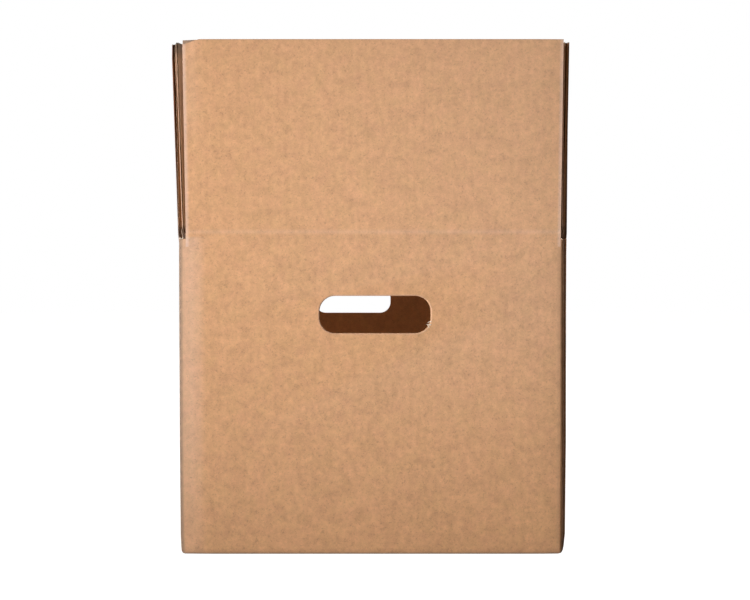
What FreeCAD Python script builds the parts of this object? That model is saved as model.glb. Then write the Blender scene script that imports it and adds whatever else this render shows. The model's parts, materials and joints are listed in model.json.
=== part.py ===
"""Corrugated shipping box with a hand hole in each end, folded from one sheet of double-wall board.

Millimetres, +Z up. The origin is the middle of the underside. The ends face -Y (front) and +Y (back),
and the long sides face -X (left) and +X (right). The bottom flaps are folded in and glued, so they are
one solid with the four walls. The top flaps stand open on their creases, each in its own body.
"""
import FreeCAD, Part
import math
import os

V = FreeCAD.Vector

# ---- driving dimensions ----------------------------------------------------------------------------
box_width = 381.0            # across the ends, outside (X)
box_length = 570.0           # along the sides, outside (Y)
end_crease_height = 311.0    # ground to the crease of the two end flaps
board = 6.7                  # double-wall board, outer liner to inner liner
fold_radius = 3.0            # outside radius of a folded corner
top_flap_gap = 9.0           # left between the long flaps when they are shut
bottom_flap_gap = 3.0        # left between the glued long flaps of the bottom

hand_hole_width = 109.5
hand_hole_height = 37.0
hand_hole_radius = 15.5
hand_hole_offset = 2.0       # the hole's middle, right of the end wall's middle
hand_hole_drop = 75.4        # the hole's middle, below the end crease

glue_tab_width = 38.0        # lap of the end wall inside the right side wall
glue_tab_bevel = 12.0        # taken off the tab's free corners
lap_crush = 0.63             # share of the board's thickness left where the lap is pressed
crushed_foot = 0.4           # share of the thickness left where a bottom end flap leaves its wall
foot_ramp = 30.0             # length over which that flap climbs on to the long flaps

# ---- clearances ------------------------------------------------------------------------------------
crease_slit = 0.25           # each side of a top crease, between flap and wall
flap_side_clearance = 0.4    # end flap to side wall, each side
flap_end_clearance = 0.5     # long flap's end to an upright end flap
flap_stack_clearance = 0.4   # shut end flap to the long flap over it
tab_end_clearance = 6.0      # glue tab to the end flaps above and below it

# ---- how far each top flap leans out as it stands ----------------------------------------------------
front_lean = 5.0
back_lean = 3.5
left_lean = 2.5
right_lean = 0.85

# ---- worked out from the above ----------------------------------------------------------------------
half_width = box_width / 2
half_length = box_length / 2
inner_half_width = half_width - board
inner_half_length = half_length - board
crease_step = board + flap_stack_clearance
side_crease_height = end_crease_height + crease_step
side_flap_length = half_width - top_flap_gap / 2
end_flap_length = side_flap_length + crease_step     # all the flap ends are cut in one line
end_flap_half_width = inner_half_width - flap_side_clearance
side_flap_half_length = inner_half_length - flap_end_clearance
lap_thickness = board * lap_crush
floor_top = 2 * board
hand_hole_height_above_ground = end_crease_height - hand_hole_drop
past = 5.0                   # how far a cutting solid runs past the board


def box(low, high):
    """A block between two opposite corners."""
    return Part.makeBox(high[0] - low[0], high[1] - low[1], high[2] - low[2], V(*low))


def prism_along_x(section, half_span):
    """A prism with the same (y, z) section from -half_span to +half_span in X."""
    points = [V(-half_span, y, z) for y, z in section]
    face = Part.Face(Part.makePolygon(points + points[:1]))
    return face.extrude(V(2 * half_span, 0, 0))


def prism_along_y(section, half_span):
    """A prism with the same (x, z) section from -half_span to +half_span in Y."""
    points = [V(x, -half_span, z) for x, z in section]
    face = Part.Face(Part.makePolygon(points + points[:1]))
    return face.extrude(V(0, 2 * half_span, 0))


def folded_block():
    """The closed outside of the box: folds rounded at three upright corners and all round the foot."""
    block = box((-half_width, -half_length, 0), (half_width, half_length, side_crease_height))
    rounded = []
    for edge in block.Edges:
        middle = edge.CenterOfMass
        upright = abs(middle.z - side_crease_height / 2) < 1
        at_lap = middle.x > 0 and middle.y < 0
        at_foot = middle.z < 1
        if at_foot or (upright and not at_lap):
            rounded.append(edge)
    return block.makeFillet(fold_radius, rounded)


def lap_step():
    """What is missing at the front right corner, where the end wall folds in behind the side wall.

    The end wall turns on its own fold radius one lap thickness inside the side wall's face, and the
    side wall's raw edge stops where that fold ends.
    """
    fold_x = half_width - lap_thickness
    start = V(fold_x - fold_radius, -half_length, 0)
    end = V(fold_x, -half_length + fold_radius, 0)
    eighth = fold_radius * (1 - math.sqrt(0.5))
    middle = V(fold_x - eighth, -half_length + eighth, 0)
    outline = Part.Wire([
        Part.Arc(start, middle, end).toShape(),
        Part.makeLine(end, V(half_width + past, end.y, 0)),
        Part.makeLine(V(half_width + past, end.y, 0), V(half_width + past, -half_length - past, 0)),
        Part.makeLine(V(half_width + past, -half_length - past, 0), V(start.x, -half_length - past, 0)),
        Part.makeLine(V(start.x, -half_length - past, 0), start),
    ])
    step = Part.Face(outline).extrude(V(0, 0, side_crease_height + 2 * past))
    return step.translated(V(0, 0, -past))


def glue_tab():
    """The pressed tab of the front wall, glued inside the right wall, where it stands a little proud."""
    proud = 2 * lap_thickness - board
    low = floor_top + tab_end_clearance
    high = end_crease_height - board - tab_end_clearance
    near = -inner_half_length
    far = near + glue_tab_width
    outline = [(near, low), (far, low + glue_tab_bevel), (far, high - glue_tab_bevel), (near, high)]
    points = [V(inner_half_width - proud, y, z) for y, z in outline]
    return Part.Face(Part.makePolygon(points + points[:1])).extrude(V(proud, 0, 0))


def bottom_end_flap(side):
    """A bottom end flap: pressed thin at its fold, then climbing on to the glued long flaps."""
    wall = inner_half_length
    tip = half_length - end_flap_length
    section = [
        (side * wall, board),
        (side * wall, board * (1 + crushed_foot)),
        (side * (wall - foot_ramp), floor_top),
        (side * tip, floor_top),
        (side * tip, board),
    ]
    return prism_along_x(section, end_flap_half_width)


def bottom_gaps():
    """The slit between the bottom's long flaps, and the slit between their ends and each end wall."""
    half_gap = bottom_flap_gap / 2
    middle = box((-half_gap, -side_flap_half_length, -past), (half_gap, side_flap_half_length, board))
    slits = [middle]
    for side in (-1, 1):
        edges = sorted((side * inner_half_length, side * side_flap_half_length))
        slits.append(box((-inner_half_width, edges[0], -past), (inner_half_width, edges[1], board)))
    return slits


def hand_holes():
    """One rounded cutter through both end walls."""
    centre_x = hand_hole_offset
    centre_z = hand_hole_height_above_ground
    low = (centre_x - hand_hole_width / 2, -half_length - past, centre_z - hand_hole_height / 2)
    high = (centre_x + hand_hole_width / 2, half_length + past, centre_z + hand_hole_height / 2)
    cutter = box(low, high)
    corners = [edge for edge in cutter.Edges if abs(edge.CenterOfMass.y) < 1]
    almost_round = 0.499 * min(hand_hole_width, hand_hole_height)
    return cutter.makeFillet(min(hand_hole_radius, almost_round), corners)


def top_cuts():
    """What is cut from the walls' top: the end walls and slots down to the end crease, then the bevels.

    Each crease leaves half a right angle on the wall and half on its flap, inside the outer face, so
    that the flap can shut flat and can also fold right out.
    """
    slot_floor = end_crease_height - crease_slit
    side_rim = side_crease_height - crease_slit
    cuts = []
    for side in (-1, 1):
        edges = sorted((side * side_flap_half_length, side * (half_length + past)))
        cuts.append(box((-half_width - past, edges[0], slot_floor),
                        (half_width + past, edges[1], side_crease_height + past)))
        end_bevel = [
            (side * half_length, slot_floor),
            (side * inner_half_length, slot_floor - board),
            (side * inner_half_length, slot_floor),
        ]
        cuts.append(prism_along_x(end_bevel, inner_half_width))
        side_bevel = [
            (side * half_width, side_rim),
            (side * inner_half_width, side_rim - board),
            (side * inner_half_width, side_crease_height + past),
            (side * (half_width + past), side_crease_height + past),
            (side * (half_width + past), side_rim),
        ]
        cuts.append(prism_along_y(side_bevel, side_flap_half_length))
    return cuts


def make_body():
    """Four walls, glued lap and glued bottom, all one folded sheet."""
    cavity = box((-inner_half_width, -inner_half_length, board),
                 (inner_half_width, inner_half_length, side_crease_height + past))
    walls = folded_block().cut([lap_step(), cavity] + bottom_gaps())
    folded = walls.fuse([glue_tab(), bottom_end_flap(-1), bottom_end_flap(1)])
    return folded.cut([hand_holes()] + top_cuts()).removeSplitter().Solids[0]


def make_end_flap(side, lean):
    """An end flap, side -1 at the front or 1 at the back, leaning out by lean degrees."""
    section = [
        (side * half_length, end_crease_height + crease_slit),
        (side * half_length, end_crease_height + end_flap_length),
        (side * inner_half_length, end_crease_height + end_flap_length),
        (side * inner_half_length, end_crease_height + crease_slit + board),
    ]
    flap = prism_along_x(section, end_flap_half_width)
    flap.rotate(V(0, side * half_length, end_crease_height), V(-side, 0, 0), lean)
    return flap


def make_side_flap(side, lean):
    """A long flap, side -1 at the left or 1 at the right, leaning out by lean degrees."""
    section = [
        (side * half_width, side_crease_height + crease_slit),
        (side * half_width, side_crease_height + side_flap_length),
        (side * inner_half_width, side_crease_height + side_flap_length),
        (side * inner_half_width, side_crease_height + crease_slit + board),
    ]
    flap = prism_along_y(section, side_flap_half_length)
    flap.rotate(V(side * half_width, 0, side_crease_height), V(0, side, 0), lean)
    return flap


def export():
    """Write one STEP file for each node."""
    os.makedirs("parts", exist_ok=True)
    nodes = {
        "body": make_body(),
        "front_flap": make_end_flap(-1, front_lean),
        "back_flap": make_end_flap(1, back_lean),
        "left_flap": make_side_flap(-1, left_lean),
        "right_flap": make_side_flap(1, right_lean),
    }
    for name, shape in nodes.items():
        size = shape.BoundBox
        print(f"{name:12} valid {shape.isValid()} solids {len(shape.Solids)} faces {len(shape.Faces)} "
              f"volume {shape.Volume / 1000:.1f} cm3 "
              f"x {size.XMin:.1f}..{size.XMax:.1f} y {size.YMin:.1f}..{size.YMax:.1f} "
              f"z {size.ZMin:.1f}..{size.ZMax:.1f}")
        shape.exportStep(f"parts/{name}.step")


export()
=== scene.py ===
import bpy
import json
import math
from mathutils import Matrix, Vector


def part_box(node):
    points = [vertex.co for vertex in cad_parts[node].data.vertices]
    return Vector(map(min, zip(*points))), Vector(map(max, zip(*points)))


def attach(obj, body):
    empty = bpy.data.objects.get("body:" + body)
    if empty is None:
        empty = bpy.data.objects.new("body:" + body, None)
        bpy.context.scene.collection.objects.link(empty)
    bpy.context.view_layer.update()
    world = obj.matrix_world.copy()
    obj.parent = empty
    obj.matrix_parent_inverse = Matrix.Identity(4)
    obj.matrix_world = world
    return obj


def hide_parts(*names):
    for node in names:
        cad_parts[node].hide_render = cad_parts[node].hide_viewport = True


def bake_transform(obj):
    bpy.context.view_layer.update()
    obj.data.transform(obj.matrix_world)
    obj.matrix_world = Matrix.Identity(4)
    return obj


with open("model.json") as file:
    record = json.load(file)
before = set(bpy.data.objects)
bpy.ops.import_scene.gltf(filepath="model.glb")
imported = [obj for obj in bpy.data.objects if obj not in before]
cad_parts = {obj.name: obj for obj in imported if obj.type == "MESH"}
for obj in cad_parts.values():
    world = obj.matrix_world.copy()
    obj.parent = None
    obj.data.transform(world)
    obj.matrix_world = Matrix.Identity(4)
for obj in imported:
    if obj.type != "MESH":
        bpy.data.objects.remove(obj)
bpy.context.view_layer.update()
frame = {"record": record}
creases = {joint["name"]: joint for joint in frame["record"]["behaviour"]["joints"]}
bpy.ops.object.select_all(action="DESELECT")

# ---- Camera -----------------------------------------------------------------------------------------
# A tripod camera a little over a metre in front of the box's end, left of its middle and a little above
# the hand hole, so that the end is seen square on and the back hand hole shows through the front one.
body_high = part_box("body")[1]
half_width = body_high.x
half_length = body_high.y
camera_distance = 1.184           # from the end wall
camera_left = 0.0658              # of the box's middle
camera_level = 0.2823
camera_dip = 1.2                  # degrees below level
camera_data = bpy.data.cameras.new("camera")
camera = bpy.data.objects.new("camera", camera_data)
bpy.context.collection.objects.link(camera)
camera.location = (-camera_left, -half_length - camera_distance, camera_level)
camera.rotation_euler = (math.radians(90 - camera_dip), 0, 0)
camera_data.lens = 57.98
camera_data.sensor_width = 36.0
camera_data.shift_x = 0.0918
camera_data.shift_y = -0.0092
bpy.context.scene.camera = camera
bpy.context.scene.view_settings.view_transform = "Standard"

# ---- Lamps, surround and floor ----------------------------------------------------------------------
# A gridded soft box at the front left, level with the upper half of the box, gives the end its light. A
# weak one fills the right side, a lamp looks into the box, and two light the far side. The floor is a
# matt paper sweep, which the camera sees lit to white.


def soft_lamp(name, place, target, size, power):
    """A square area lamp that points at a place on the box."""
    data = bpy.data.lights.new(name, "AREA")
    data.size = size
    data.energy = power
    lamp = bpy.data.objects.new(name, data)
    bpy.context.collection.objects.link(lamp)
    lamp.location = place
    lamp.rotation_euler = (Vector(target) - Vector(place)).to_track_quat("-Z", "Y").to_euler()
    return lamp


def add(tree, kind, inputs=None, **settings):
    """A shader node with its settings made, and each input either linked from a socket or given a value."""
    node = tree.nodes.new(kind)
    for key, value in settings.items():
        setattr(node, key, value)
    for key, value in (inputs or {}).items():
        if isinstance(value, bpy.types.NodeSocket):
            tree.links.new(value, node.inputs[key])
        else:
            node.inputs[key].default_value = value
    return node


grid_spread = math.radians(40)
key_lamp = soft_lamp("key_lamp", place=(-1.53, -half_length - 1.29, 0.36),
                     target=(0.04, -half_length, 0.345), size=0.7, power=3.42)
key_lamp.data.spread = grid_spread
fill_lamp = soft_lamp("fill_lamp", place=(0.75, -half_length - 1.3, 0.30),
                      target=(0.17, -half_length, 0.30), size=0.5, power=0.09)
fill_lamp.data.spread = grid_spread
soft_lamp("top_lamp", place=(0.1, 0.15, 1.7), target=(0, 0, 0), size=0.8, power=7.6)
soft_lamp("back_left_lamp", place=(-1.5, 1.9, 1.0), target=(0, 0.1, 0.25), size=1.2, power=14)
soft_lamp("back_right_lamp", place=(1.7, 1.4, 0.8), target=(0, 0.1, 0.25), size=1.2, power=22)

world = bpy.data.worlds.new("surround")
bpy.context.scene.world = world
world.use_nodes = True
tree = world.node_tree
tree.nodes.clear()
rays = add(tree, "ShaderNodeLightPath")
mirrored = add(tree, "ShaderNodeMath", {0: rays.outputs["Is Glossy Ray"],
                                        1: rays.outputs["Is Transmission Ray"]}, operation="MAXIMUM")
seen = add(tree, "ShaderNodeMath", {0: rays.outputs["Is Camera Ray"], 1: mirrored.outputs[0]},
           operation="MAXIMUM")
room_light = add(tree, "ShaderNodeBackground", {"Color": (1.0, 0.76, 0.50, 1), "Strength": 0.092})
white = add(tree, "ShaderNodeBackground", {"Color": (1, 1, 1, 1), "Strength": 1.0})
chosen = add(tree, "ShaderNodeMixShader", {0: seen.outputs[0], 1: room_light.outputs[0],
                                           2: white.outputs[0]})
add(tree, "ShaderNodeOutputWorld", {"Surface": chosen.outputs[0]})

floor_size = 12
floor_drop = 0.0003               # clear of the underside
floor_glow = 0.98
foot_margin = 0.006               # the floor glows up to this far in under the box, and no further
bpy.ops.mesh.primitive_plane_add(size=floor_size, location=(0, 0, -floor_drop))
floor = bpy.context.object
floor.name = "floor"
bpy.ops.object.mode_set(mode="EDIT")
bpy.ops.mesh.subdivide(number_cuts=3)
bpy.ops.object.mode_set(mode="OBJECT")
bpy.ops.object.transform_apply(location=True)
sweep = bpy.data.materials.new("white sweep")
sweep.use_nodes = True
tree = sweep.node_tree
tree.nodes.clear()
rays = add(tree, "ShaderNodeLightPath")
coordinates = add(tree, "ShaderNodeTexCoord")
across = add(tree, "ShaderNodeSeparateXYZ", {0: coordinates.outputs["Object"]})
within_width = add(tree, "ShaderNodeMath", {0: across.outputs["X"], 1: 0.0, 2: half_width - foot_margin},
                   operation="COMPARE")
within_length = add(tree, "ShaderNodeMath", {0: across.outputs["Y"], 1: 0.0, 2: half_length - foot_margin},
                    operation="COMPARE")
beneath = add(tree, "ShaderNodeMath", {0: within_width.outputs[0], 1: within_length.outputs[0]},
              operation="MULTIPLY")
lit = add(tree, "ShaderNodeMath", {0: floor_glow, 1: beneath.outputs[0]}, operation="SUBTRACT",
          use_clamp=True)
glow = add(tree, "ShaderNodeMath", {0: rays.outputs["Is Camera Ray"], 1: lit.outputs[0]},
           operation="MULTIPLY")
white = add(tree, "ShaderNodeEmission", {"Strength": glow.outputs[0]})
paper = add(tree, "ShaderNodeBsdfDiffuse", {"Color": (0.4, 0.4, 0.4, 1)})
both = add(tree, "ShaderNodeAddShader", {0: paper.outputs[0], 1: white.outputs[0]})
add(tree, "ShaderNodeOutputMaterial", {"Surface": both.outputs[0]})
floor.data.materials.append(sweep)
bpy.ops.object.select_all(action="DESELECT")

# ---- Walls, glue tab and long bottom flaps ----------------------------------------------------------
# One blank of double-wall kraft board: three liners with two fluted papers glued between them. It is
# punched and slotted flat, pressed thin along its scores, folded square, and lapped and glued at the
# front right corner, where the raw edge of the right wall stays in sight.
board = 0.0067
outer_caliper = 0.00035           # of the outermost and the innermost liner
middle_caliper = 0.0007
fluting_caliper = 0.00022
middle_liner_depth = 0.0045       # from the outer face to the middle of its paper
near_pitch = 0.0078               # of the flutes next to the outer liner
far_pitch = 0.0064                # of the flutes next to the inner liner
fold_radius = 0.003
fold_arc = fold_radius * math.pi / 2
lap_thickness = 0.61 * board
lap_ramp = (0.042, 0.050)         # the right wall thickens between these, from its raw edge
bottom_gap = 0.003                # between the two long bottom flaps
slot_reach = 0.0042               # from the tangent of a long wall's fold to its flap
end_slot_reach = 0.0038           # the same on an end wall
lapped_slot_reach = 0.00042       # the same at the lapped corner, past the fold's start
seam = 0.303                      # level where the top flaps' own boards begin
post_drop = 0.00025               # the posts beside an end flap stop this far below its crease
post_top = creases["front_crease"]["pos_m"][2] - post_drop
tab_reach = 0.0417
tab_low, tab_high = 0.0194, 0.2983
tab_taper = 0.012
tab_width = 0.038
hole_width, hole_height, hole_radius = 0.1095, 0.037, 0.0155
hole_offset = 0.002               # to the right of the middle, in both end walls
hole_level = 0.2356
front_hole_rise = 0.0008          # the front panel has crept up by this much at its hole
lip_width = 0.0012

lap_fold_x = half_width - lap_thickness
side_span = 2 * (half_length - fold_radius)
end_span = 2 * (half_width - fold_radius)
front_span = half_width + lap_fold_x - 2 * fold_radius
spans = [side_span, end_span, side_span, front_span, tab_reach]
span_starts = [sum(spans[:i]) + i * fold_arc for i in range(len(spans))]
right_start, back_start, left_start, front_start, tab_start = span_starts
blank_length = tab_start + tab_reach
fold_starts = [start - fold_arc for start in span_starts[1:]]
foot_line = fold_radius - fold_arc
side_bottom = foot_line - (half_width - fold_radius - bottom_gap / 2)
end_bottom = foot_line - (board - fold_radius)
front_hole = front_start + hole_offset + half_width - fold_radius
back_hole = back_start + half_width - fold_radius - hole_offset
hole_centres = ((front_hole, hole_level + front_hole_rise), (back_hole, hole_level))
flap_spans = [
    (right_start + slot_reach, right_start + side_span - slot_reach, side_bottom),
    (back_start + end_slot_reach, back_start + end_span - end_slot_reach, end_bottom),
    (left_start + slot_reach, left_start + side_span - slot_reach, side_bottom),
    (front_start + end_slot_reach, front_start + front_span + lapped_slot_reach, end_bottom),
]


def clamp(value):
    """The value, kept between 0 and 1."""
    return max(0.0, min(1.0, value))


def ease(value):
    """A smooth step from 0 to 1 as the value goes from 0 to 1."""
    value = clamp(value)
    return value * value * (3 - 2 * value)


def share_between(value, start, end):
    """How far the value lies from the start to the end: 0 at the start and 1 at the end."""
    return (value - start) / (end - start)


def rise(value, start, end):
    """Goes smoothly from 0 at the start to 1 at the end, which may be the lower of the two."""
    return ease(share_between(value, start, end))


def hump(value, middle, reach):
    """1 at the middle, falling smoothly to 0 at the reach on each side of it."""
    return ease(1 - abs(value - middle) / reach)


mix_a, mix_b, mix_result = 6, 7, 2      # the sockets of a Mix node that blends colours


def fibres_group():
    """Kraft paper: slow clouds of pulp that change tint a little, fine felted fibres and dark flecks."""
    group = bpy.data.node_groups.new("kraft fibres", "ShaderNodeTree")
    for name, kind in (("Vector", "NodeSocketVector"), ("Colour", "NodeSocketColor"),
                       ("Cloud", "NodeSocketFloat"), ("Felt", "NodeSocketFloat"),
                       ("Flecks", "NodeSocketFloat")):
        group.interface.new_socket(name, in_out="INPUT", socket_type=kind)
    group.interface.new_socket("Colour", in_out="OUTPUT", socket_type="NodeSocketColor")
    group.interface.new_socket("Height", in_out="OUTPUT", socket_type="NodeSocketFloat")
    given = add(group, "NodeGroupInput").outputs
    clouds = add(group, "ShaderNodeTexNoise", {"Vector": given["Vector"], "Scale": 24.0, "Detail": 4.0,
                                               "Roughness": 0.6})
    tints = add(group, "ShaderNodeTexNoise", {"Vector": given["Vector"], "Scale": 75.0, "Detail": 2.0})
    felt = add(group, "ShaderNodeTexNoise", {"Vector": given["Vector"], "Scale": 110.0, "Detail": 5.0,
                                             "Roughness": 0.92})
    specks = add(group, "ShaderNodeTexNoise", {"Vector": given["Vector"], "Scale": 560.0, "Detail": 1.0})
    spotted = add(group, "ShaderNodeMapRange", {"Value": specks.outputs[0], "From Min": 0.60,
                                                "From Max": 0.74, "To Min": 0.0, "To Max": 1.0})
    dark = add(group, "ShaderNodeMath", {0: spotted.outputs[0], 1: given["Flecks"]}, operation="MULTIPLY")
    cloud = add(group, "ShaderNodeMath", {0: clouds.outputs[0], 1: 0.5}, operation="SUBTRACT")
    cloudy = add(group, "ShaderNodeMath", {0: cloud.outputs[0], 1: given["Cloud"], 2: 1.0},
                 operation="MULTIPLY_ADD")
    centred = add(group, "ShaderNodeMath", {0: felt.outputs[0], 1: 0.5}, operation="SUBTRACT")
    felted = add(group, "ShaderNodeMath", {0: centred.outputs[0], 1: given["Felt"], 2: cloudy.outputs[0]},
                 operation="MULTIPLY_ADD")
    shade = add(group, "ShaderNodeMath", {0: felted.outputs[0], 1: dark.outputs[0]}, operation="SUBTRACT")
    tint = add(group, "ShaderNodeMapRange", {"Value": tints.outputs[0], "From Min": 0.3, "From Max": 0.7})
    tinted = add(group, "ShaderNodeMix", {0: tint.outputs[0], mix_a: (1.014, 0.995, 1.02, 1),
                                          mix_b: (0.986, 1.005, 0.98, 1)}, data_type="RGBA")
    coloured = add(group, "ShaderNodeVectorMath", {0: given["Colour"], 1: tinted.outputs[mix_result]},
                   operation="MULTIPLY")
    shaded = add(group, "ShaderNodeVectorMath", {0: coloured.outputs[0], "Scale": shade.outputs[0]},
                 operation="SCALE")
    add(group, "NodeGroupOutput", {"Colour": shaded.outputs[0], "Height": felt.outputs[0]})
    return group


def show_through_group():
    """The flutes under a liner, which show as very faint bands up the board."""
    group = bpy.data.node_groups.new("flute show-through", "ShaderNodeTree")
    for name, kind in (("Along", "NodeSocketFloat"), ("Pitch", "NodeSocketFloat")):
        group.interface.new_socket(name, in_out="INPUT", socket_type=kind)
    group.interface.new_socket("Height", in_out="OUTPUT", socket_type="NodeSocketFloat")
    given = add(group, "NodeGroupInput").outputs
    waves = add(group, "ShaderNodeMath", {0: given["Along"], 1: given["Pitch"]}, operation="DIVIDE")
    turned = add(group, "ShaderNodeMath", {0: waves.outputs[0], 1: 2 * math.pi}, operation="MULTIPLY")
    crest = add(group, "ShaderNodeMath", {0: turned.outputs[0]}, operation="COSINE")
    add(group, "NodeGroupOutput", {"Height": crest.outputs[0]})
    return group


def wear_and_shade_group():
    """Board made a little darker and greyer in broken patches: real rubbing in places, painted shade in
    others.
    """
    group = bpy.data.node_groups.new("wear and painted shade", "ShaderNodeTree")
    for name, kind in (("Vector", "NodeSocketVector"), ("Colour", "NodeSocketColor"),
                       ("Wear and shade", "NodeSocketFloat"), ("Wear shade colour", "NodeSocketColor")):
        group.interface.new_socket(name, in_out="INPUT", socket_type=kind)
    group.interface.new_socket("Colour", in_out="OUTPUT", socket_type="NodeSocketColor")
    given = add(group, "NodeGroupInput").outputs
    patches = add(group, "ShaderNodeTexNoise", {"Vector": given["Vector"], "Scale": 180.0, "Detail": 4.0,
                                                "Roughness": 0.65})
    broken = add(group, "ShaderNodeMapRange", {"Value": patches.outputs[0], "From Min": 0.35,
                                               "From Max": 0.6, "To Min": 0.8, "To Max": 1.0})
    share = add(group, "ShaderNodeMath", {0: broken.outputs[0], 1: given["Wear and shade"]}, operation="MULTIPLY")
    blend = add(group, "ShaderNodeMix", {0: share.outputs[0], mix_a: given["Colour"],
                                         mix_b: given["Wear shade colour"]}, data_type="RGBA")
    add(group, "NodeGroupOutput", {"Colour": blend.outputs[mix_result]})
    return group


kraft_fibres = fibres_group()
show_through = show_through_group()
wear_and_shade_nodes = wear_and_shade_group()
painted_sheen_colour = (0.035, 0.055, 0.075)  # painted sheen: the whitish light added to the colour where the sheen mask asks


def kraft_material(name, colour, wear_shade_colour, cloud, felt, flecks, pitch=None):
    """A kraft paper: its own colour and grain, its painted sheen, its rubbed places and painted shade, and
    the flutes under a liner.
    """
    made = bpy.data.materials.new(name)
    made.use_nodes = True
    tree = made.node_tree
    shader = tree.nodes["Principled BSDF"]
    shader.inputs["Roughness"].default_value = 0.8
    shader.inputs["Specular IOR Level"].default_value = 0.25
    coordinates = add(tree, "ShaderNodeTexCoord")
    grain = add(tree, "ShaderNodeGroup", node_tree=kraft_fibres)
    tree.links.new(coordinates.outputs["Object"], grain.inputs["Vector"])
    for key, value in (("Colour", (*colour, 1)), ("Cloud", cloud), ("Felt", felt), ("Flecks", flecks)):
        grain.inputs[key].default_value = value
    # The wear-and-shade mask darkens the colour: rubbing in places, painted shade in others.
    wear_and_painted_shade = add(tree, "ShaderNodeAttribute", attribute_name="wear_and_painted_shade")
    sheen_mask = add(tree, "ShaderNodeAttribute", attribute_name="painted_sheen")
    # The sheen mask adds painted sheen: a whitish lift standing in for light glancing off the paper.
    sheen_added = add(tree, "ShaderNodeVectorMath", {0: sheen_mask.outputs["Color"], 1: painted_sheen_colour},
                operation="MULTIPLY")
    with_sheen = add(tree, "ShaderNodeVectorMath", {0: grain.outputs["Colour"], 1: sheen_added.outputs[0]})
    wear_shade_mix = add(tree, "ShaderNodeGroup", node_tree=wear_and_shade_nodes)
    tree.links.new(coordinates.outputs["Object"], wear_shade_mix.inputs["Vector"])
    tree.links.new(with_sheen.outputs[0], wear_shade_mix.inputs["Colour"])
    tree.links.new(wear_and_painted_shade.outputs["Fac"], wear_shade_mix.inputs["Wear and shade"])
    wear_shade_mix.inputs["Wear shade colour"].default_value = (*wear_shade_colour, 1)
    tree.links.new(wear_shade_mix.outputs["Colour"], shader.inputs["Base Color"])
    felted = add(tree, "ShaderNodeBump", {"Height": grain.outputs["Height"], "Strength": 0.35,
                                          "Distance": 0.0002})
    if pitch:
        sheet = add(tree, "ShaderNodeUVMap", uv_map="sheet")
        split = add(tree, "ShaderNodeSeparateXYZ", {0: sheet.outputs[0]})
        bands = add(tree, "ShaderNodeGroup", node_tree=show_through)
        tree.links.new(split.outputs["X"], bands.inputs["Along"])
        bands.inputs["Pitch"].default_value = pitch
        banded = add(tree, "ShaderNodeBump", {"Height": bands.outputs["Height"], "Strength": 1.0,
                                              "Distance": 0.000020, "Normal": felted.outputs[0]})
        tree.links.new(banded.outputs[0], shader.inputs["Normal"])
    else:
        tree.links.new(felted.outputs[0], shader.inputs["Normal"])
    return made


# Each material's second colour is where it is rubbed or given painted shade.
kraft_face = kraft_material("kraft_face", colour=(0.660, 0.365, 0.191), wear_shade_colour=(0.27, 0.185, 0.130),
                            cloud=0.16, felt=0.95, flecks=0.18, pitch=near_pitch)
kraft_inside = kraft_material("kraft_inside", colour=(0.56, 0.30, 0.135), wear_shade_colour=(0.18, 0.13, 0.085),
                              cloud=0.16, felt=0.95, flecks=0.18, pitch=far_pitch)
fluting = kraft_material("fluting_paper", colour=(0.36, 0.185, 0.085), wear_shade_colour=(0.13, 0.09, 0.06),
                         cloud=0.25, felt=0.8, flecks=0.25)
cut_paper = kraft_material("cut_paper", colour=(0.76, 0.50, 0.34), wear_shade_colour=(0.24, 0.16, 0.11),
                           cloud=0.4, felt=1.2, flecks=0.2)
torn_paper = kraft_material("torn_paper", colour=(0.90, 0.75, 0.61), wear_shade_colour=(0.60, 0.45, 0.33),
                            cloud=0.2, felt=0.8, flecks=0.0)


def in_blank(along, up):
    """True where the flat blank has board. Slots part the flaps, and the top flaps are added later."""
    if along > tab_start:
        return tab_low < up < tab_high
    for start, end, lowest in flap_spans:
        if start < along < end:
            return lowest < up < seam
    return foot_line < up < post_top


def blank_thickness(along, up):
    """What is left of the board's thickness: less along the scores, and in the pressed lap."""
    room = board
    for start in fold_starts:
        room = min(room, fold_radius + max(start - along, along - start - fold_arc, 0))
    room = min(room, fold_radius + max(up - fold_radius, foot_line - up, 0))
    lap = clamp(share_between(along, lap_ramp[1], lap_ramp[0]))
    if along > fold_starts[-1]:
        lap = 1
    return min(room, board - (board - lap_thickness) * lap)


def flat_sheet(left, right, low, high, depth):
    """A plane in the working position: width along X, height along Z, its face towards -Y."""
    middle = ((left + right) / 2, depth, (low + high) / 2)
    bpy.ops.mesh.primitive_plane_add(size=1, location=middle, rotation=(math.pi / 2, 0, 0))
    bpy.context.object.scale = (right - left, high - low, 1)
    bpy.ops.object.transform_apply(location=True, rotation=True, scale=True)
    return bpy.context.object


def choose_faces(wanted):
    """Goes into edit mode with only those faces of the active mesh selected whose middles pass a test."""
    bpy.ops.object.mode_set(mode="EDIT")
    bpy.ops.mesh.select_mode(type="FACE")
    bpy.ops.mesh.select_all(action="DESELECT")
    bpy.ops.object.mode_set(mode="OBJECT")
    for face in bpy.context.object.data.polygons:
        face.select = wanted(face.center)
    bpy.ops.object.mode_set(mode="EDIT")


def score(axis, places, wanted=lambda middle: True):
    """Adds a line of edges across the wanted faces of the active mesh at each place along an axis."""
    across = Vector((0, 0, 0))
    across[axis] = 1
    for place in places:
        choose_faces(wanted)
        bpy.ops.mesh.bisect(plane_co=across * place, plane_no=across)
        bpy.ops.object.mode_set(mode="OBJECT")


def trim(point, outward, wanted=lambda middle: True):
    """Cuts the wanted faces of the active mesh along a plane and drops what lies outward of it."""
    choose_faces(wanted)
    bpy.ops.mesh.bisect(plane_co=point, plane_no=outward, clear_outer=True)
    bpy.ops.object.mode_set(mode="OBJECT")


def remove_faces(unwanted):
    """Deletes the faces of the active mesh whose middles pass a test."""
    choose_faces(unwanted)
    bpy.ops.mesh.delete(type="FACE")
    bpy.ops.object.mode_set(mode="OBJECT")


glue_line = 0.00006               # the flutes' tips stay this far from the liners


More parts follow.
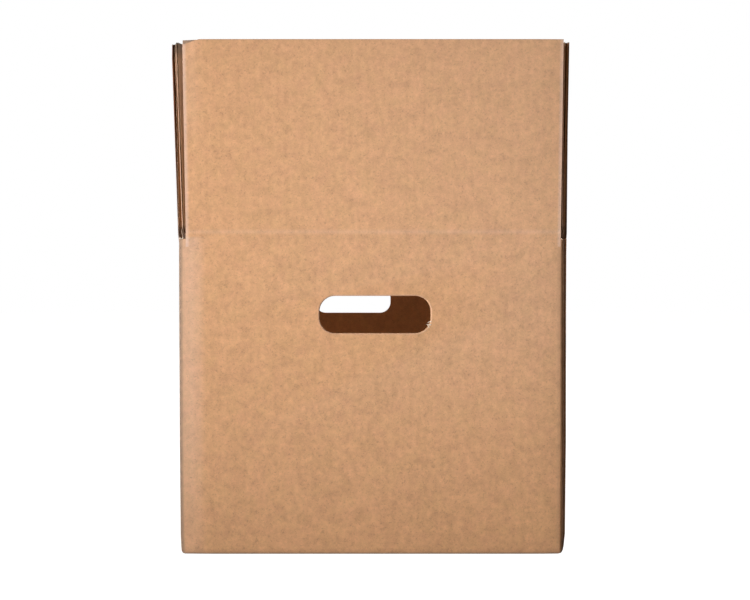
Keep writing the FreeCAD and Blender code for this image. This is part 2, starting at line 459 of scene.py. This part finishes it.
def fluted_sheet(left, right, low, high, near, far, pitch, steps, start, skew):
    """A fluted paper in the working position: one wave between two depths, repeated across the sheet.

    The start is the share that is left of the flute which the left edge cuts, and the skew how far the
    flutes run out of upright.
    """
    drift = abs(skew) * (high - low)
    first = left - (1 - start) * pitch - drift
    middle = (first + pitch / 2, (near + far) / 2, (low + high) / 2)
    bpy.ops.mesh.primitive_grid_add(x_subdivisions=steps, y_subdivisions=1, size=1,
                                    location=middle, rotation=(math.pi / 2, 0, 0))
    wave = bpy.context.object
    wave.scale = (pitch, high - low, 1)
    bpy.ops.object.transform_apply(location=True, rotation=True, scale=True)
    reach = (far - near - fluting_caliper) / 2 - glue_line
    for point in wave.data.vertices:
        point.co.y -= reach * math.cos(2 * math.pi * (point.co.x - first) / pitch)
        point.co.x += skew * (point.co.z - low)
    repeat = wave.modifiers.new("repeat", "ARRAY")
    repeat.use_relative_offset = False
    repeat.use_constant_offset = True
    repeat.constant_offset_displace = (pitch, 0, 0)
    repeat.count = math.ceil((right + drift - first) / pitch) + 1
    repeat.use_merge_vertices = True
    repeat.merge_threshold = 0.00001
    bpy.ops.object.modifier_apply(modifier="repeat")
    trim((left, 0, 0), (-1, 0, 0))
    trim((right, 0, 0), (1, 0, 0))
    return wave


def thicken(sheet, caliper, face, edge):
    """Gives a layer its caliper, with one material on its faces and another on its cut edges."""
    sheet.data.materials.append(face)
    sheet.data.materials.append(edge)
    solid = sheet.modifiers.new("caliper", "SOLIDIFY")
    solid.thickness = caliper
    solid.offset = 0
    solid.material_offset_rim = 1
    bpy.ops.object.modifier_apply(modifier="caliper")


def lay_up(left, right, low, high, columns, rows, thickness_at, steps=8, starts=(0.3, 0.6), skew=0.0,
           cut=lambda: None, liner_rows=()):
    """The five papers of a board in the working position, each pressed to its place between the others.

    The columns are the upright lines of edges, for the liners and for the flutes, and the rows the level
    ones, with some for the liners alone. The starts are those of the outer and of the inner flutes, and
    the cut gives each paper its outline. The papers come in this order: the outer, middle and inner liner,
    the outer and the inner flutes.
    """
    sheets = []
    half = outer_caliper / 2
    middle = middle_liner_depth
    outer_flutes = (outer_caliper, middle - middle_caliper / 2, near_pitch, starts[0])
    inner_flutes = (middle + middle_caliper / 2, board - outer_caliper, far_pitch, starts[1])
    for place, caliper, paper, rim in ((half, outer_caliper, kraft_face, fluting),
                                       (middle, middle_caliper, kraft_inside, cut_paper),
                                       (board - half, outer_caliper, kraft_inside, fluting),
                                       (outer_flutes, fluting_caliper, fluting, cut_paper),
                                       (inner_flutes, fluting_caliper, fluting, fluting)):
        liner = paper != fluting
        if liner:
            sheet = flat_sheet(left, right, low, high, place)
        else:
            near, far, pitch, start = place
            sheet = fluted_sheet(left, right, low, high, near, far, pitch, steps, start, skew)
        score(0, columns[0 if liner else 1])
        score(2, list(rows) + (list(liner_rows) if liner else []))
        cut()
        for point in sheet.data.vertices:
            room = thickness_at(point.co.x, point.co.z)
            point.co.y = half + (point.co.y - half) * (room - outer_caliper) / (board - outer_caliper)
        thicken(sheet, caliper, paper, rim)
        sheets.append(sheet)
    return sheets


corner_steps = 12
punch_clearance = 0.010           # in front of the board
punch_stroke = 0.030


def punch(sheet, grow):
    """Punches both hand holes, larger all round by an allowance."""
    cutters = []
    width, height, radius = hole_width + 2 * grow, hole_height + 2 * grow, hole_radius + grow
    for centre, level in hole_centres:
        cutter = flat_sheet(centre - width / 2, centre + width / 2, level - height / 2,
                            level + height / 2, -punch_clearance)
        bpy.ops.object.mode_set(mode="EDIT")
        bpy.ops.mesh.select_all(action="SELECT")
        bpy.ops.mesh.bevel(offset=radius, segments=corner_steps, affect="VERTICES")
        bpy.ops.mesh.select_all(action="SELECT")
        bpy.ops.mesh.extrude_region_move(TRANSFORM_OT_translate={"value": (0, punch_stroke, 0)})
        bpy.ops.mesh.select_all(action="SELECT")
        bpy.ops.mesh.normals_make_consistent(inside=False)
        bpy.ops.object.mode_set(mode="OBJECT")
        cutter.data.materials.append(kraft_inside)
        cutters.append(cutter)
    cutter = join(cutters, "punch")
    bpy.ops.object.select_all(action="DESELECT")
    sheet.select_set(True)
    bpy.context.view_layer.objects.active = sheet
    cut = sheet.modifiers.new("punch", "BOOLEAN")
    cut.object = cutter
    cut.operation = "DIFFERENCE"
    cut.solver = "EXACT"
    cut.material_mode = "TRANSFER"
    bpy.ops.object.modifier_apply(modifier="punch")
    bpy.data.objects.remove(cutter)


def hole_lip(centre, level):
    """The outer liner's own edge round a hand hole, drawn in a little by the punch."""
    width, height = hole_width + 2 * lip_width, hole_height + 2 * lip_width
    lip = flat_sheet(centre - width / 2, centre + width / 2, level - height / 2,
                     level + height / 2, outer_caliper / 2)
    bpy.ops.object.mode_set(mode="EDIT")
    bpy.ops.mesh.select_mode(type="FACE")
    bpy.ops.mesh.select_all(action="SELECT")
    bpy.ops.mesh.bevel(offset=hole_radius + lip_width, segments=corner_steps, affect="VERTICES")
    bpy.ops.mesh.select_all(action="SELECT")
    for inward, back in ((0.0005, 0.00008), (0.0004, 0.00025), (0.0003, 0.0007)):
        bpy.ops.mesh.inset(thickness=inward, depth=-back)
    bpy.ops.mesh.delete(type="FACE")
    bpy.ops.object.mode_set(mode="OBJECT")
    thicken(lip, outer_caliper, kraft_face, cut_paper)
    return lip


def join(parts, name):
    """Makes one object of several."""
    bpy.ops.object.select_all(action="DESELECT")
    for part in parts:
        part.select_set(True)
    bpy.context.view_layer.objects.active = parts[0]
    if len(parts) > 1:
        bpy.ops.object.join()
    bpy.context.object.name = name
    bpy.context.object.data.name = name
    return bpy.context.object


def lay_coordinates(sheet, wear_and_shade_at, sheen_at=lambda along, up: 0.0):
    """Keeps each point's place on the flat sheet as a UV map in metres, its rubbing and painted shade, and
    its painted sheen.
    """
    flat = sheet.data.uv_layers.new(name="sheet") if not sheet.data.uv_layers else sheet.data.uv_layers[0]
    flat.name = "sheet"
    for loop in sheet.data.loops:
        spot = sheet.data.vertices[loop.vertex_index].co
        flat.data[loop.index].uv = (spot.x, spot.z)
    for name, value_at in (("wear_and_painted_shade", wear_and_shade_at), ("painted_sheen", sheen_at)):
        values = sheet.data.attributes.new(name, "FLOAT", "POINT")
        for point in sheet.data.vertices:
            values.data[point.index].value = value_at(point.co.x, point.co.z)


def folded(along, outward):
    """The place in plan of a point of the walls: how far along the folded sheet, how far out of it."""
    spot = Vector((half_width, fold_radius - half_length))
    heading = Vector((0, 1))
    for number, span in enumerate(spans, 1):
        out = Vector((heading.y, -heading.x))
        if along <= span or number == len(spans):
            return spot + heading * along + out * outward
        spot += heading * span
        along -= span
        centre = spot - out * fold_radius
        if along <= fold_arc:
            turn = along / fold_radius
            return centre + (out * math.cos(turn) + heading * math.sin(turn)) * (fold_radius + outward)
        spot = centre + heading * fold_radius
        heading = Vector((-heading.y, heading.x))
        along -= fold_arc


left_bulge = 0.0006               # outward, under the crease
left_draw = 0.0006                # inward, over the lowest part
right_dip = 0.0003                # inward, under the crease
right_bulge = 0.0004              # outward, over the lower part
left_foot_draw = 0.0014
right_foot_draw = 0.0034          # at the outermost edge only
foot_height = 0.009               # the draw of the foot dies away over this height
end_curl = 0.0013
end_curl_reach = (0.150, 0.190)   # from the middle of the end wall, where it starts and is whole
lap_curl = 0.0005
lap_curl_reach = (0.1800, 0.1863)


def slackened(spot):
    """The box's own slack of up to 3 mm, as a new place for a point.

    The side walls belly a little in and out as they rise, and are drawn in at the foot. The end walls curl
    in beside their folds, most of all beside the lapped corner.
    """
    x, y, z = spot
    foot = math.exp(-max(z, 0) / foot_height)
    if x < 0:
        inset = -left_bulge * hump(z, 0.270, 0.060) + left_draw * rise(z, 0.110, 0.030)
        inset += left_foot_draw * foot
    else:
        inset = right_dip * hump(z, 0.265, 0.045) - right_bulge * rise(abs(z - 0.085), 0.098, 0.028)
        inset += right_foot_draw * foot * clamp((x - 0.1855) / 0.0045)
    across = max(-1, min(1, x / half_width))
    near_side = min(1.05, max(0, share_between(abs(x), *end_curl_reach)))
    curl = end_curl * near_side ** 2
    if y < 0:
        curl += lap_curl * clamp(share_between(x, *lap_curl_reach)) ** 2 * rise(z, 0.308, 0.296)
    curl *= rise(abs(y), 0.240, 0.275)
    return Vector((x - across * inset, y - math.copysign(curl, y), z))


def fold_up(sheet):
    """Folds the flat blank: the bottom flaps under at the foot, then the walls square at their folds."""
    for point in sheet.data.vertices:
        along, depth, up = point.co
        drop = fold_radius - up
        if drop <= 0:
            outward, height = -depth, up
        elif drop <= fold_arc:
            turn = drop / fold_radius
            outward = (fold_radius - depth) * math.cos(turn) - fold_radius
            height = fold_radius - (fold_radius - depth) * math.sin(turn)
        else:
            outward, height = -fold_radius - (drop - fold_arc), depth
        plan = folded(along, outward)
        point.co = slackened(Vector((plan.x, plan.y, height)))


def cut_outline():
    """Cuts the blank's slots and the tapered ends of its glue tab."""
    remove_faces(lambda middle: not in_blank(middle.x, middle.z))
    for edge, outward in ((tab_low, -1), (tab_high, 1)):
        trim((tab_start + tab_reach - tab_width, 0, edge), (tab_taper / tab_width, 0, outward),
             lambda middle: middle.x > tab_start)


def fold_wear_and_shade(along, up):
    """Darker and greyer at three of the upright folds, with painted shade along the foot and a little beside
    the lapped corner.
    """
    near = min(abs(along - start - fold_arc / 2) for start in fold_starts[:-1])
    upright = rise(near, 0.0045, 0.0008)
    # painted shade: the dark line along the foot of the walls
    foot = 0.7 * rise(abs(up - 0.0006), 0.00312, 0.00052)
    # painted shade where the lapped corner's fold turns away from the light
    lap = 0.2 * hump(along, fold_starts[-1] - 0.0014, 0.0023)
    return max(upright, foot, lap)


def fold_sheen(along, up):
    """Painted sheen: the face made paler and whiter beside the upright folds and the lap, where light
    glances off it.
    """
    near = min(abs(along - start - fold_arc / 2) for start in fold_starts[:-1])
    beside = rise(near, 0.027, 0.014) * (0.45 + 0.55 * rise(up, 0.02, 0.15))
    lap = rise(abs(along - fold_starts[-1]), 0.085, 0.035) * rise(up, 0.06, 0.21)
    return beside + 0.4 * lap


raw_edge = 0.0012                 # where the right wall is cut off at the lapped corner
# painted highlight on the outer liner's lip round each hand hole
lip_highlight = 0.7
smooth_angle = math.radians(35)
belly_lines = [0.110, 0.235]      # where the side walls' slack turns
arc_steps = [fold_arc * k / 4 for k in range(5)]
curl_steps = (0.0014, 0.0037, 0.010, 0.017, 0.024, 0.032, 0.040)
upright_lines = [start + step for start in fold_starts for step in arc_steps]
upright_lines += [start - reach for start in fold_starts for reach in curl_steps]
upright_lines += [start + fold_arc + reach for start in fold_starts[:-1] for reach in curl_steps]
slot_lines = [place for span in flap_spans for place in span[:2]]
level_lines = [end_bottom, foot_line, foot_line + fold_arc / 2, fold_radius, board, tab_low]
level_lines += belly_lines + [tab_high, seam]
papers = lay_up(raw_edge, blank_length, side_bottom, post_top,
                (upright_lines + slot_lines + list(lap_ramp), slot_lines), level_lines, blank_thickness,
                steps=6, cut=cut_outline)
for number, sheet in enumerate(papers):
    punch(sheet, lip_width if number == 0 else 0)
for sheet in papers:
    lay_coordinates(sheet, fold_wear_and_shade, fold_sheen)
for centre, level in hole_centres:
    lip = hole_lip(centre, level)
    # the lip gets the painted highlight all round
    lay_coordinates(lip, fold_wear_and_shade, lambda along, up: lip_highlight)
    papers.append(lip)
for sheet in papers:
    fold_up(sheet)

# Slivers that the punch and the slotting knives tore: at the front hole's lower right, and on the two
# front posts. Each has its foot, which way and how far it stands out, and its radius at the foot.
torn = []
face = -half_length
sliver_tip = 0.0001
for foot, reach, radius in (
        ((0.0570, face + 0.0004, 0.2298), (-0.0040, -0.0003, -0.0014), 0.0007),
        ((0.0566, face + 0.0003, 0.2264), (-0.0050, -0.0005, 0.0004), 0.0009),
        ((0.0550, face + 0.0004, 0.2238), (-0.0018, -0.0004, 0.0026), 0.0007),
        ((-0.1891, face + 0.0005, 0.3108), (-0.0003, -0.0004, 0.0013), 0.0009),
        ((-0.1871, face + 0.0004, 0.3108), (0.0004, -0.0004, 0.0012), 0.0009),
        ((0.1852, face + 0.0010, 0.3100), (-0.0008, -0.0004, 0.0012), 0.0005)):
    way = Vector(reach)
    bpy.ops.mesh.primitive_cone_add(vertices=5, radius1=radius, radius2=sliver_tip, depth=way.length,
                                    location=Vector(foot) + way / 2,
                                    rotation=way.to_track_quat("Z", "Y").to_euler())
    sliver = bpy.context.object
    bpy.ops.object.transform_apply(location=True, rotation=True, scale=True)
    sliver.data.uv_layers[0].name = "sheet"
    sliver.data.materials.append(torn_paper)
    torn.append(sliver)
walls = join(papers + torn, "box_walls")
bpy.ops.object.shade_smooth_by_angle(angle=smooth_angle)
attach(walls, "box_body")
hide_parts("body")

# ---- Bottom end flaps -------------------------------------------------------------------------------
# The two short flaps of the bottom, of the same board. Each is pressed thin where it leaves its end
# wall, climbs on to the long flaps and is glued down to them.
floor_level = board
wall_face = half_length - board
end_flap_reach = 0.1864
end_flap_half_width = 0.1834
foot_crush = 0.4                  # the part of the board's thickness left at the wall
foot_ramp = 0.030                 # it is whole again this far in


def climbing_thickness(along, up):
    """Pressed thin at the wall, and whole a short way on."""
    return board * (foot_crush + (1 - foot_crush) * clamp(up / foot_ramp))


flaps = []
for side in (-1, 1):
    papers = lay_up(-end_flap_half_width, end_flap_half_width, 0, end_flap_reach, ([], []),
                    [foot_ramp / 2, foot_ramp], climbing_thickness, steps=6)
    for sheet in papers:
        lay_coordinates(sheet, lambda along, up: 0.5 * rise(up, 0.004, 0))
        for point in sheet.data.vertices:
            along, depth, up = point.co
            point.co = slackened(Vector((side * along, side * (wall_face - up), floor_level + depth)))
    flaps += papers
bottom = join(flaps, "bottom_end_flaps")
bpy.ops.object.shade_smooth_by_angle(angle=smooth_angle)
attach(bottom, "box_body")

# ---- Top flaps --------------------------------------------------------------------------------------
# Four flaps of the same sheet, standing up on their creases. A crease is a line where the board is
# pressed a little from inside, so that the flap can shut flat or fold right out.
crease_bend = 0.003               # the crease bends over this far each side of its line
crease_pressed = 0.0052           # the board's thickness in it
crease_flat = 0.001               # it is pressed level this far each side
crease_reach = 0.0032             # and slopes out to the whole board here
crease_highlight_line = 0.0065                # a painted highlight runs along here, above the crease
crease_highlight_end = 0.0098
flare_width = 0.014
bruise_height = 0.016             # how far down from the top edge a knock can be seen
bruise_depth = middle_liner_depth - 0.0002      # and how deep it goes into the board
bruise_rest = 0.12                # the papers behind are driven down by this share of its fall
bruise_dent = 0.3                 # the outer paper is pushed in by this share of it


def crease_thickness(along, up):
    """Pressed thinner at the crease, with slopes beside it."""
    slope = (board - crease_pressed) / (crease_reach - crease_flat)
    return min(board, crease_pressed + max(0, abs(up) - crease_flat) * slope)


def make_flap(name, quarter, half_span, top, lean, starts, knock, folds, skew=0.0, sway=0.0,
              flare=(0, 0, 0, 1), crease_shade=0.14, right_sheen=0.0):
    """A top flap and the strip of wall under its crease, made upright and then leant out and placed.

    The quarter is the number of quarter turns round the box, and the starts and the skew are those of its
    flutes. The knock is a bruised top corner: its place, how far it reaches and how far it is driven down.
    The folds are the places of the upright folds beside it, next to which it gets painted sheen. The sway is
    how far its top stands to one side. The flare is at one end: its place, how far the flap leans and stands
    out there beyond the rest, and up to what height. The crease shade is how dark its crease line is painted
    as shade, and the right sheen how much painted sheen it gains toward its right end.
    """
    crease = creases[name.replace("flap", "crease")]["pos_m"]
    below = crease[2] - seam
    reach = top - crease[2]
    turn = Matrix.Rotation(quarter * math.pi / 2, 3, "Z")
    knock_place, knock_width, knock_fall = knock
    flare_place, flare_lean, flare_out, flare_height = flare

    def wear_and_shade_of(number, along, up):
        """Painted shade along the crease line and rubbed at the top edge; behind the outer paper, darker
        wider round the crease and at the knock.
        """
        # painted shade: a faint dark line along the crease
        crease_line_shade = crease_shade * hump(up, 0, 0.002)
        edge = 0.45 * rise(up, reach - 0.0011, reach - 0.0003)
        if number == 0:
            return max(crease_line_shade, edge)
        pressed = 0.7 * rise(abs(up), 0.006, 0.003)
        knocked = 0.9 * rise(abs(along - knock_place), 1.2 * knock_width, 0.6 * knock_width)
        return max(crease_line_shade, edge, pressed, knocked * rise(up, reach - 0.010, reach - 0.006))

    def sheen_at(number, along, up):
        """Painted sheen beside the upright folds, a painted highlight above the crease, and at the ends of
        the outer paper.
        """
        beside = max(rise(abs(along - fold), 0.027, 0.014) for fold in folds)
        painted_sheen = beside * (rise(up, 0.003, 0) + 0.3 * rise(up, 0.08, 0.13))
        painted_sheen += right_sheen * rise(along, 0.105, 0.155) + 0.5 * hump(up, crease_highlight_line, 0.003)
        if number == 0:
            painted_sheen += 1.7 * rise(abs(along), half_span - 0.0026, half_span - 0.0014)
        return painted_sheen

    columns = [-half_span + step for step in (0.0015, 0.004, 0.008, 0.012, 0.017, 0.025, 0.034)]
    columns += [-place for place in columns]
    rows = [-crease_reach, -crease_bend, -crease_bend / 2, 0, crease_bend / 2, crease_bend, crease_reach,
            crease_highlight_line, crease_highlight_end, reach - bruise_height, reach - 0.007, reach - 0.0012]
    papers = lay_up(-half_span, half_span, -below, reach, (columns, []), rows, crease_thickness,
                    starts=starts, skew=skew, liner_rows=[0.04 + 0.012 * k for k in range(11)])
    for number, sheet in enumerate(papers):
        lay_coordinates(sheet, lambda along, up: wear_and_shade_of(number, along, up),
                        lambda along, up: sheen_at(number, along, up))
        for point in sheet.data.vertices:
            along, depth, up = point.co
            swayed = sway * max(0, up) / reach
            near = hump(along, knock_place, knock_width) * rise(up, reach - bruise_height, reach)
            front = clamp(1 - depth / bruise_depth)
            up -= near * knock_fall * (1 if front > 0 else bruise_rest)
            depth += near * knock_fall * bruise_dent * front
            ending = hump(along, flare_place, flare_width)
            depth -= flare_out * ending * rise(up, -below, 0) * clamp(1 - up / flare_height)
            angle = math.radians(lean + flare_lean * ending) * rise(up, -crease_bend, crease_bend)
            depth, up = (depth * math.cos(angle) - up * math.sin(angle),
                         depth * math.sin(angle) + up * math.cos(angle))
            spot = turn @ Vector((along + swayed, depth, 0)) + Vector(crease)
            point.co = slackened(Vector((spot.x, spot.y, crease[2] + up)))
    flap = join(papers, name + "_board")
    bpy.ops.object.shade_smooth_by_angle(angle=smooth_angle)
    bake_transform(flap)
    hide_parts(name)


end_half = 0.18375                # half of an end flap's length along its crease
side_half = 0.2778                # and of a side flap's
flap_top = 0.5040
front_flap_top = 0.5031
end_folds = (half_width - fold_radius + fold_arc / 2) * Vector((-1, 1))
side_folds = (half_length - fold_radius + fold_arc / 2) * Vector((-1, 1))
make_flap("front_flap", quarter=0, half_span=end_half, top=front_flap_top, lean=5.0, starts=(0.1, 0.4),
          knock=(-end_half, 0.017, 0.0042), folds=end_folds[:1], sway=-0.0015, crease_shade=0.04,
          right_sheen=0.4)
make_flap("back_flap", quarter=2, half_span=end_half, top=flap_top, lean=3.5, starts=(0.4, 0.2),
          knock=(-end_half, 0.010, 0.0005), folds=end_folds)
make_flap("left_flap", quarter=-1, half_span=side_half, top=flap_top, lean=1.4, starts=(0.66, 0.56),
          knock=(side_half, 0.014, 0.0019), folds=side_folds, skew=0.014,
          flare=(side_half, 1.0, 0.0017, 0.193))
make_flap("right_flap", quarter=1, half_span=side_half, top=flap_top, lean=0.78, starts=(0.7, 0.1),
          knock=(side_half, 0.010, 0.0005), folds=side_folds[1:], skew=-0.010,
          flare=(-side_half, 0.0, 0.0009, 0.097))
